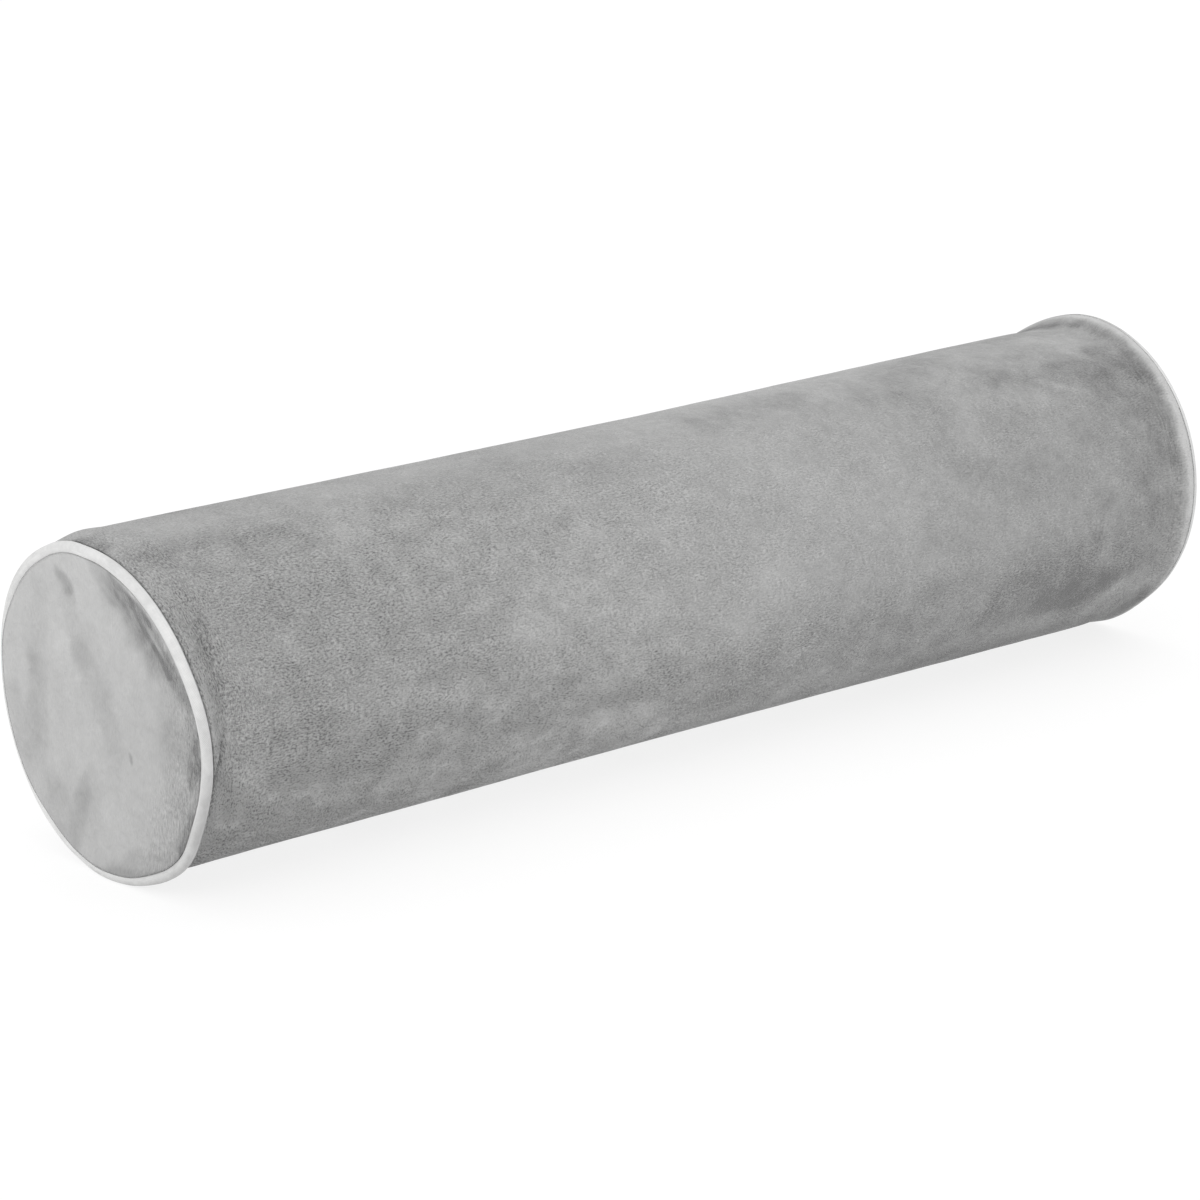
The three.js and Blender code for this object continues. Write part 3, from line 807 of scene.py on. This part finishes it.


# Where the sleeve's pile has been stroked, and where shade and light are painted on it: painted shade in
# the creases, in the valleys behind the rims, in the notch beside the near cord and under the far end's
# flared top, and painted highlights along the lips by the cords. Each row has where the stroke starts
# and ends, as millimetres along from the roll's middle and degrees round it, then its half width in
# millimetres and its tone. A tone above 0 is lighter.
SLEEVE_NAP_AND_SHADE_STROKES = [
    ((-201, 108), (-150, 112), 4, -0.14),
    ((-196, 107), (-186, 117), 4, -0.14),
    ((-172, 112), (-168, 120), 4, -0.08),
    ((-180, 92), (-150, 98), 6, 0.07),
    ((-194, 117), (-188, 120), 3, -0.08),
    ((-184, 124), (-178, 128), 4, -0.10),
    ((-184, 138), (-170, 144), 6, -0.10),
    ((-200, 127), (-199, 133), 2.5, 0.14),
    ((-162, 150), (-150, 158), 8, 0.07),
    ((-184, 201), (-180, 205), 4, -0.12),
    ((-163, 182), (-156, 190), 6, -0.14),
    ((-178, 117), (-164, 128), 2, 0.07),
    ((-203.8, 80), (-203.8, 95), 2.2, -0.34),
    ((-203, 118), (-203, 127), 2, 0.10),
    ((-205, 134), (-204.5, 152), 1, -0.22),
    ((-203, 136), (-202, 162), 2, 0.10),
    ((-202, 162), (-200, 178), 1.5, 0.16),
    ((-196, 124), (-197, 140), 3, -0.06),
    ((-197, 140), (-197, 162), 2.2, -0.18),
    ((-190, 132), (-188, 160), 7, -0.08),
    ((-195.6, 176), (-197, 181), 0.7, -0.12),
    ((-197, 181), (-198.7, 187), 0.7, -0.60),
    ((-198.7, 187), (-201.4, 194), 0.8, -0.70),
    ((-201.4, 194), (-200, 206), 1.0, -0.45),
    ((-200, 206), (-197, 230), 0.9, -0.25),
    ((-193, 176), (-189, 184), 3, -0.10),
    ((-193, 206), (-190, 212), 3.5, 0.19),
    ((-192, 184), (-190, 196), 4, 0.08),
    ((-194.5, 173), (-195, 180), 1.2, 0.15),
    ((-194, 202), (-110, 212), 13, 0.09),
    ((-194, 214), (-188, 232), 4, 0.19),
    ((-202, 160), (-201.5, 182), 1.3, 0.28),
    ((-195.5, 180), (-196, 190), 1.3, 0.20),
    ((-199, 176), (-200, 184), 1.2, 0.12),
    ((-102, 200), (-40, 214), 12, 0.08),
    ((-90, 164), (-30, 172), 10, 0.04),
    ((-150, 224), (-30, 236), 9, 0.10),
    ((100, 92), (160, 104), 8, -0.08),
    ((140, 112), (164, 116), 5, -0.10),
    ((184, 124), (188, 138), 6, -0.16),
    ((150, 196), (172, 190), 8, -0.08),
    ((120, 120), (190, 170), 38, -0.10),
    ((128, 196), (162, 204), 9, -0.12),
    ((186, 224), (194, 228), 5, -0.22),
    ((199, 92), (199, 104), 2, -0.14),
    ((134, 117), (172, 119), 4, -0.12),
    ((164, 194), (168, 200), 4, 0.18),
    ((186, 192), (196, 200), 6, 0.16),
    ((192, 214), (198, 220), 4, 0.14),
    ((140, 212), (150, 216), 5, -0.12),
    ((184, 184), (188, 196), 5, -0.12),
    ((-196, 194), (-189, 212), 6, 0.06),
    ((-192, 170), (-172, 169), 0.7, -0.10),
    ((-110, 158), (-95, 176), 7, -0.09),
    ((-125, 192), (-108, 212), 6, -0.08),
    ((-110, 108), (-60, 100), 6, -0.09),
    ((-42, 108), (-30, 112), 4, -0.08),
    ((-45, 117), (-15, 111), 6, -0.10),
    ((-120, 158), (30, 165), 32, 0.08),
    ((20, 148), (30, 165), 9, -0.12),
    ((-12, 192), (8, 212), 7, -0.14),
    ((-165, 197), (-20, 189), 10, 0.12),
    ((-60, 195), (-46, 212), 6, 0.07),
    ((-40, 185), (-10, 216), 7, -0.13),
    ((0, 197), (26, 212), 7, -0.14),
    ((-15, 216), (24, 222), 5, -0.14),
    ((20, 100), (60, 98), 8, -0.18),
    ((40, 206), (100, 199), 5, -0.05),
    ((74, 182), (96, 183), 4, 0.06),
    ((60, 218), (120, 212), 7, -0.13),
    ((76, 228), (140, 233), 6, -0.14),
    ((86, 107), (106, 116), 6, -0.10),
    ((140, 92), (108, 116), 5, 0.06),
    ((138, 209), (152, 211), 6, -0.20),
    ((152, 211), (168, 205), 5, -0.24),
    ((153, 120), (161, 125), 1.2, 0.12),
    ((161, 125), (170, 130), 1.2, 0.12),
    ((193, 25), (195, 60), 2.8, -0.18),
    ((195, 62), (196, 82), 2.8, -0.38),
    ((196, 82), (198, 100), 1.6, -0.24),
    ((198, 106), (198, 118), 3, -0.10),
    ((178, 92), (182, 106), 7, 0.16),
    ((172, 115), (184, 122), 5, -0.14),
    ((189, 111), (195, 127), 5, -0.24),
    ((164, 160), (172, 166), 6, 0.10),
    ((118, 122), (112, 136), 7, 0.10),
    ((125, 124), (150, 128), 5, 0.07),
    ((130, 78), (180, 82), 9, -0.20),
    ((160, 178), (156, 204), 6, -0.14),
    ((197, 174), (198, 194), 2, 0.14),
    ((194, 128), (192, 160), 5, -0.08),
    ((178, 128), (186, 150), 8, -0.08),
    ((199, 133), (198, 154), 1.4, -0.10),
    ((198, 154), (196, 176), 1.2, -0.10),
    ((203, 84), (203, 118), 1.6, 0.30),
    ((203, 118), (202.5, 140), 2.2, 0.48),
    ((202, 140), (201, 160), 2.4, 0.46),
    ((201, 160), (201, 196), 1.8, 0.45),
    ((180, 170), (192, 192), 7, -0.08),
    ((168, 224), (175, 211), 2, 0.10),
    ((175, 211), (185, 206), 2, 0.10),
    ((192, 238), (199, 222), 4, -0.22),
]

# Right beside the cord, shade is painted on the pile at the near end, most of all low at the front in
# the notch. A highlight is painted at the far end, where it catches the light. The reach is in
# millimetres.
near |= {"seam_reach": 0.4, "seam_tone": -0.15, "seam_low_tone": -0.4}
far |= {"seam_reach": 1.0, "seam_tone": 0.35, "seam_low_tone": 0}

# Parts of the sleeve by angle. The first ones have a middle, and the others the angles where they
# start, are full, begin to fade and end.
FRONT = {"middle": 178, "half": 50, "fade": 35}
NOTCH = {"middle": 200, "half": 22, "fade": 12}
NEAR_GATHERS = {"middle": 165, "half": 25, "fade": 20}
FAR_GATHERS = {"middle": 165, "half": 35, "fade": 15}
LOW_FRONT = (172, 208, 240, 275)
LOW_EDGE = (222, 240, 250, 280)
UNDERSIDE = (190, 225, 300, 340)

# Stretches along the roll over which something grows, from the first place to the second.
TOWARDS_NEAR = (170 * MM, -110 * MM)
COARSER = (90 * MM, -170 * MM)
TOWARDS_FAR = (-90 * MM, 100 * MM)
NEAR_COLLAR = (-176 * MM, -198 * MM)
NEAR_GATHERED = (-192 * MM, -197 * MM)
FAR_GATHERED = 196 * MM
FAR_GATHERED_HALF_WIDTH = 2.5 * MM

# How much each adds to the tone or to the coarseness of the pile.
PLAIN_TONE = 0.005
CLOUDS_TONE = 0.06
STROKES_PATCHY = 0.5
COARSE_STROKE = 3
NEAR_TONE = 0.15
NEAR_TONE_ON_TOP = 0.4
LOW_MOTTLED = 0.15
LOW_NEAR_TONE = 0.19
# LOW_FAR_DARKER, LOW_EDGE_TONE and SEAM_TONE are painted shade: low at the front towards the far end,
# along the bottom edge, and in the closing seam's dip.
LOW_FAR_DARKER = 0.35
LOW_EDGE_TONE = -0.24
SEAM_TONE = -0.35
SEAM_LINE_SHARE = 0.6
GRAIN_LEAST = 0.36
GRAIN_COARSER = 0.94
GRAIN_BEHIND = 0.45
GRAIN_LOW_FRONT = 1.2
LAY_UNDERSIDE = 0.8
LAY_UNEVEN = 0.5
NEAR_GATHER_DEPTH = 0.9
FAR_GATHER_DEPTH = 0.5


def band(value, start, full, fading, gone):
    """0 up to a start, 1 from where it is full to where it begins to fade, and 0 again when gone."""
    return eased(value, start, full) * (1 - eased(value, fading, gone))


def beside_cord(end, reach, along, outwards, angles):
    """1 on the cord's surface, falling to 0 past a reach from it."""
    middle, out = cord_line(end, angles)
    off_cord = np.hypot(end["side"] * along - out, outwards - middle) - CORD_RADIUS
    return np.exp(-((off_cord / reach) ** 2))


def sleeve_tone(where, along, angles, places):
    """How light the sleeve's pile is at each point, with its painted shade and light."""
    coarse = ragged(places, reach=3.5 * MM, size=9 * MM, seed=11)
    fine = ragged(places, reach=0.7 * MM, size=3 * MM, seed=17)
    patchy = 1 + STROKES_PATCHY * wandering(places, size=5 * MM, seed=19)
    nap_and_shade = CLOUDS_TONE * wandering(places, size=90 * MM, seed=13)
    # The strokes hold the nap and also painted shade and painted highlights.
    for start, finish, half_width, tone in SLEEVE_NAP_AND_SHADE_STROKES:
        border = coarse if half_width > COARSE_STROKE else fine
        away = beside(border, spot_on_cut(start), spot_on_cut(finish)) / (half_width * MM)
        nap_and_shade += tone * patchy * np.exp(-(away**2))
    low_front = band(angles, *LOW_FRONT)
    nap_and_shade += LOW_MOTTLED * low_front * wandering(places, size=9 * MM, seed=23)
    # Low at the front: lighter towards the near end, and painted shade towards the far end, where less
    # light reaches.
    nap_and_shade += low_front * (LOW_NEAR_TONE - LOW_FAR_DARKER * eased(along, *TOWARDS_FAR))
    # Painted shade along the bottom edge.
    nap_and_shade += LOW_EDGE_TONE * band(angles, *LOW_EDGE)
    front_share = NEAR_TONE_ON_TOP + (1 - NEAR_TONE_ON_TOP) * off_middle(angles, **FRONT)
    nap_and_shade += PLAIN_TONE + NEAR_TONE * eased(along, *TOWARDS_NEAR) * front_share
    off_seam = ROLL_RADIUS * np.radians(np.mod(angles - SEAM_ANGLE + 180, 360) - 180)
    # Painted shade in the closing seam's dip.
    nap_and_shade += SEAM_TONE * np.exp(-((off_seam / (SEAM_LINE_SHARE * SEAM_HALF_WIDTH)) ** 2))
    outwards = np.hypot(where[:, 1], where[:, 2] - AXIS_HEIGHT)
    for end in (near, far):
        # Painted shade beside the near cord and a painted highlight beside the far one.
        pressed_or_shaded = beside_cord(end, end["seam_reach"] * MM, along, outwards, angles)
        nap_and_shade += pressed_or_shaded * (end["seam_tone"] + end["seam_low_tone"] * off_middle(angles, **NOTCH))
    return nap_and_shade


def dress_sleeve(piece):
    """Paints the sleeve's pile, with painted shade and light, and gives it its velour."""
    where = positions(piece)
    along = where[:, 0] - MIDDLE_ALONG
    angles = np.degrees(np.arctan2(where[:, 2] - AXIS_HEIGHT, where[:, 1])) % 360
    places = on_the_cut(along, angles)
    underside = LAY_UNDERSIDE * band(angles, *UNDERSIDE) + eased(along, *NEAR_COLLAR)
    lay = underside + LAY_UNEVEN * wandering(places, size=14 * MM, seed=14)
    grain = GRAIN_LEAST + GRAIN_COARSER * eased(along, *COARSER)
    grain *= GRAIN_BEHIND + (1 - GRAIN_BEHIND) * off_middle(angles, **FRONT)
    grain *= 1 + GRAIN_LOW_FRONT * band(angles, *LOW_FRONT)
    near_gather = eased(along, *NEAR_GATHERED) * off_middle(angles, **NEAR_GATHERS)
    from_far_gather = (along - FAR_GATHERED) / FAR_GATHERED_HALF_WIDTH
    far_gather = np.exp(-(from_far_gather**2)) * off_middle(angles, **FAR_GATHERS)
    values = {
        "nap_and_shade": sleeve_tone(where, along, angles, places),
        "lay": np.clip(lay, 0, 1),
        "grain": grain,
        "gather": NEAR_GATHER_DEPTH * near_gather + FAR_GATHER_DEPTH * far_gather,
    }
    paint(piece, values)
    velour = velour_material("sleeve_velour", tuft_width=0.5 * MM, tuft_length=1.1 * MM, mottled=1)
    piece.data.materials.append(velour)


tube = sleeve()
dress_sleeve(tube)
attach(tube, "root")
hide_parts("filled_sleeve")

# The end panels: round cuts of the same velour, one sewn into each end of the sleeve and stretched
# over the foam's flat end. Soft folds run down from the rim where the cloth is drawn unevenly.
PANEL_COLUMNS = 256
PANEL_ROWS = 52
BACK_INSET = 4 * MM
BACK_ROWS = (1, 0.9, 0.75, 0.5, 0.25)
RIM_SMOOTHING = 6

# Where the panels' pile has been stroked, and where shade is painted on them: in the folds, in the
# gutter beside the cord and low along the rim. Each row has where the stroke starts and ends, across Y
# and up Z from the panel's middle, then its half width, all in millimetres, and its tone.
near["strokes"] = [
    ((-3, 44), (-9, 38), 3.5, -0.24),
    ((-2, 39), (-6, 33), 2.5, -0.12),
    ((-6, 33), (-10, 29), 2.5, -0.10),
    ((-11, 36), (-14, 32), 2.5, -0.14),
    ((-13.5, -11), (-14, -13), 0.7, -0.30),
    ((-14, 38.5), (-18, 34), 1.6, -0.18),
    ((-18, 34), (-21, 28), 1.6, -0.26),
    ((-21, 28), (-24.5, 23.5), 1.6, -0.26),
    ((-25, 23), (-33, 16.5), 1.4, -0.30),
    ((-11, 41), (-19, 36.5), 2, -0.30),
    ((-19, 36.5), (-27, 30), 2.4, -0.34),
    ((-27, 30), (-33, 23.5), 2.4, -0.28),
    ((-21, 24), (-29, 18), 4, -0.18),
    ((-10, 37), (-22, 30), 5, -0.12),
    ((-12, 31), (-15, 27), 3.5, -0.12),
    ((-42.5, 3), (-43.5, -7), 2.6, -0.26),
    ((-42, -22), (-35, -34), 1.6, -0.30),
    ((-6, 35), (-16, 28), 6, -0.20),
    ((-14, 35), (-20, 30), 6, -0.12),
    ((-23, 27), (-34, 20), 6, -0.24),
    ((-27, 18), (-34, 12), 5, -0.20),
    ((-34, 20), (-42, 13), 5, -0.30),
    ((-42, 14), (-47, 4), 3, -0.26),
    ((-46, 2), (-45, -10), 2.2, -0.46),
    ((-41.5, -8), (-41, -13), 2, -0.40),
    ((44, -8), (36, -20), 6, -0.12),
    ((24, -33), (20, -39), 6, -0.10),
    ((6, -24), (8, -36), 6, -0.08),
    ((-20, 8), (-30, -2), 8, -0.10),
    ((-34, 3), (-37, -6), 5, -0.20),
    ((-10, -8), (-24, -20), 16, -0.05),
    ((18, 16), (14, 6), 4, 0.06),
    ((4, 20), (-2, 4), 4, -0.07),
    ((-44, -14), (-36, -36), 3, -0.14),
    ((-36, -36), (-6, -46), 4, -0.14),
    ((4, -49), (-24, -44), 1.5, -0.16),
    ((17.5, 36.5), (15.5, 31), 2.5, -0.34),
    ((16, 29), (9, 15), 4, -0.10),
    ((9, 15), (-6, -10), 5, -0.10),
    ((28, 28), (34, 8), 4, -0.09),
    ((31, 6), (31, -14), 5, -0.16),
    ((-28, 8), (-32, -20), 3, -0.09),
    ((9, -27), (15, -43), 3.5, -0.13),
    ((24, -30), (6, -24), 7, -0.06),
]
far["strokes"] = [
    ((-25, 30), (-8, 5), 6, -0.20),
    ((20, -30), (28, 0), 8, -0.15),
]

# Slow unevenness of the panels, in millimetres.
PANEL_UNEVEN = [
    {"height": 0.16, "size": 24, "seed": 21},
    {"height": 0.06, "size": 8, "seed": 22},
]


def end_panel(end):
    """The velour panel at one end: its front, its edge beside the cord, and its back."""
    angles = 360 * np.arange(PANEL_COLUMNS)[:, None] / PANEL_COLUMNS
    middle, out = cord_line(end, angles)
    hug_out, hug_in = panel_edge(angles)
    rim = middle - hug_in[:, :1]
    shares = (np.arange(1, PANEL_ROWS) / PANEL_ROWS)[None, :]
    radii = rim * shares
    front = panel_front(end, radii, angles)
    turned = np.radians(angles)
    spots = np.stack([radii * np.cos(turned), radii * np.sin(turned)], axis=-1)
    uneven = sum(
        bumps["height"] * wandering(spots, bumps["size"] * MM, bumps["seed"])
        for bumps in PANEL_UNEVEN
    )
    front = front + uneven * MM * (1 - shares**RIM_SMOOTHING)
    back_radii = (middle - BACK_INSET) * np.array(BACK_ROWS)[None, :]
    back = panel_front(end, back_radii, angles) - PANEL_THICKNESS
    points = place(
        end,
        np.hstack([front, out + hug_out, back]),
        np.hstack([radii, middle - hug_in, back_radii]),
        angles,
    )
    cut = np.concatenate([points, points[:1]])[..., 1:] - (0, AXIS_HEIGHT)
    ends = [
        place(end, panel_front(end, 0, np.zeros(1)) - depth, 0, np.zeros(1))[0]
        for depth in (0, PANEL_THICKNESS)
    ]
    return cloth_mesh(f"{end['name']}_end_panel", points, cut, ends)


# The pile over the whole of a panel: light is painted on it upwards and shade downwards, for light
# falling from above. Where it is brushed, towards the front and the rim, it is coarse and gathered. The
# last two stretches are from the middle outwards.
PANEL_TONE = 0.285
PANEL_CLOUDS_TONE = 0.03
PANEL_UPWARDS_TONE = 0.09
FINE_STROKE = 1.8
PANEL_GRAIN = 0.12
PANEL_BRUSHED_GRAIN = 0.5
PANEL_LAY = 0.9
PANEL_LAY_UNEVEN = 0.3
PANEL_GATHER_DEPTH = 0.5
BRUSHED_FORWARDS = (5 * MM, 40 * MM)
BRUSHED_OUTWARDS = (25 * MM, 40 * MM)
GATHERED_OUTWARDS = (34 * MM, 42 * MM)


def dress_panel(piece, end, velour):
    """Paints a panel's pile, with painted shade and light, and gives it its velour."""
    spots = positions(piece)[:, 1:] - (0, AXIS_HEIGHT)
    from_middle = np.linalg.norm(spots, axis=-1)
    rough = ragged(spots, reach=2.4 * MM, size=6 * MM, seed=31)
    nap_and_shade = PANEL_TONE + PANEL_CLOUDS_TONE * wandering(spots, size=30 * MM, seed=33)
    # Painted light towards the top and painted shade towards the bottom.
    nap_and_shade += PANEL_UPWARDS_TONE * spots[:, 1] / ROLL_RADIUS
    # The strokes hold the nap and also painted shade.
    for start, finish, half_width, tone in end["strokes"]:
        border = spots if half_width < FINE_STROKE else rough
        away = beside(border, np.array(start) * MM, np.array(finish) * MM) / (half_width * MM)
        nap_and_shade += tone * np.exp(-(away**4))
    brushed = eased(-spots[:, 0], *BRUSHED_FORWARDS)
    lay = PANEL_LAY + PANEL_LAY_UNEVEN * wandering(spots, size=15 * MM, seed=34)
    values = {
        "nap_and_shade": nap_and_shade,
        "lay": np.clip(lay, 0, 1),
        "grain": PANEL_GRAIN + PANEL_BRUSHED_GRAIN * brushed * eased(from_middle, *BRUSHED_OUTWARDS),
        "gather": PANEL_GATHER_DEPTH * eased(from_middle, *GATHERED_OUTWARDS) * brushed,
    }
    paint(piece, values)
    piece.data.materials.append(velour)


panel_velour = velour_material(
    "panel_velour", tuft_width=0.5 * MM, tuft_length=1.8 * MM, mottled=0.6
)
for end in (near, far):
    panel = end_panel(end)
    dress_panel(panel, end, panel_velour)
    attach(panel, "root")
    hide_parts(f"end_panel_{end['name']}")

# The floor: a wide sheet of white opal acrylic, lit from below, as on a light table. It lies just
# under the roll and isn't part of it.
FLOOR_HALF = 8
FLOOR_BELOW = 0.1 * MM
ACRYLIC_DARK = (0.19, 0.19, 0.19)
ACRYLIC_LIGHT = (0.21, 0.21, 0.21)
ACRYLIC_GLOW = 0.8

floor_mesh = bpy.data.meshes.new("studio_floor")
square = [(-1, -1), (1, -1), (1, 1), (-1, 1)]
floor_corners = [(x * FLOOR_HALF, y * FLOOR_HALF, -FLOOR_BELOW) for x, y in square]
floor_mesh.from_pydata(floor_corners, [], [(0, 1, 2, 3)])
floor = bpy.data.objects.new("studio_floor", floor_mesh)
bpy.context.scene.collection.objects.link(floor)

acrylic = bpy.data.materials.new("opal_acrylic")
acrylic.use_nodes = True
floor_tree = acrylic.node_tree
floor_shader = floor_tree.nodes["Principled BSDF"]
floor_shader.inputs["Roughness"].default_value = 0.8
floor_shader.inputs["Specular IOR Level"].default_value = 0.2
floor_shader.inputs["Emission Color"].default_value = (1, 1, 1, 1)
floor_shader.inputs["Emission Strength"].default_value = ACRYLIC_GLOW
coordinates = floor_tree.nodes.new("ShaderNodeTexCoord")
mottle_inputs = {"Vector": coordinates.outputs["Object"], "Scale": 3, "Detail": 4}
mottle = add(floor_tree, "TexNoise", mottle_inputs)
floor_colour = between(floor_tree, mottle, ACRYLIC_DARK, ACRYLIC_LIGHT)
floor_tree.links.new(floor_colour, floor_shader.inputs["Base Color"])
floor_mesh.materials.append(acrylic)

# The light: white all round, and three large soft lamps. The strongest shines down on the near end,
# one hangs straight above, and one stands low in front.
world = bpy.data.worlds.new("studio")
world.use_nodes = True
world.node_tree.nodes["Background"].inputs["Color"].default_value = (1, 1, 1, 1)
world.node_tree.nodes["Background"].inputs["Strength"].default_value = 0.9
bpy.context.scene.world = world
bpy.context.scene.view_settings.view_transform = "Standard"


def soft_lamp(name, place_at, size, power):
    """A round lamp of a size and a power in watts, turned towards the roll's middle."""
    data = bpy.data.lights.new(name, "AREA")
    data.shape = "DISK"
    data.size = size
    data.energy = power
    lamp = bpy.data.objects.new(name, data)
    lamp.location = place_at
    towards_roll = Vector((0, 0, AXIS_HEIGHT)) - Vector(place_at)
    lamp.rotation_euler = towards_roll.to_track_quat("-Z", "Y").to_euler()
    bpy.context.scene.collection.objects.link(lamp)


soft_lamp("key_lamp", (-2.0, -0.6, 1.3), size=1.2, power=11)
soft_lamp("top_lamp", (0.2, 0.3, 2.2), size=1.6, power=5)
soft_lamp("low_lamp", (-0.5, -2.0, 0.3), size=1.4, power=4)
